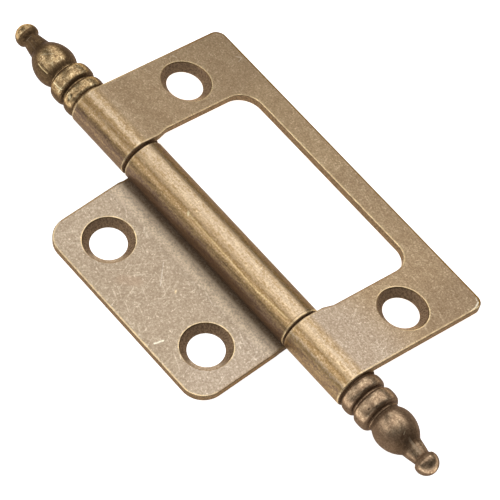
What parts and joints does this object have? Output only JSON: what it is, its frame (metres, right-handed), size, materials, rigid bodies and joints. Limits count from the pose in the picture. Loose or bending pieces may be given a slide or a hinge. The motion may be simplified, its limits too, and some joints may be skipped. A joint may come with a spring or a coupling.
{
  "type": "non mortise cabinet hinge",
  "caption": "Open non mortise cabinet hinge: a narrow leaf folds into the window of a wide leaf, rolled round one pin with a turned finial at each end.",
  "frame": {"origin": "midway between the inner leaf's two screw holes, on the face of that leaf that is screwed down", "axes": "+X along the pin, +Y from the inner leaf towards the outer leaf, +Z out of the screwed face, the way the countersinks open"},
  "size_m": [0.0989, 0.0451, 0.0072],
  "materials": {
    "leaf_brass": "antique brass, brushed, with worn edges",
    "finial_brass": "antique brass, darker in the grooves",
    "pin_steel": "plain turned"
  },
  "bodies": {
    "inner": {"inner_leaf": "leaf_brass"},
    "outer": {"outer_leaf": "leaf_brass", "hinge_pin": "pin_steel", "left_finial": "finial_brass", "right_finial": "finial_brass"}
  },
  "joints": [
    {"name": "leaf_swing", "type": "hinge", "parent": "inner", "child": "outer", "pos_m": [0.00014, 0.0121, 0.00358], "axis": [1, 0, 0], "continuous": true}
  ]
}
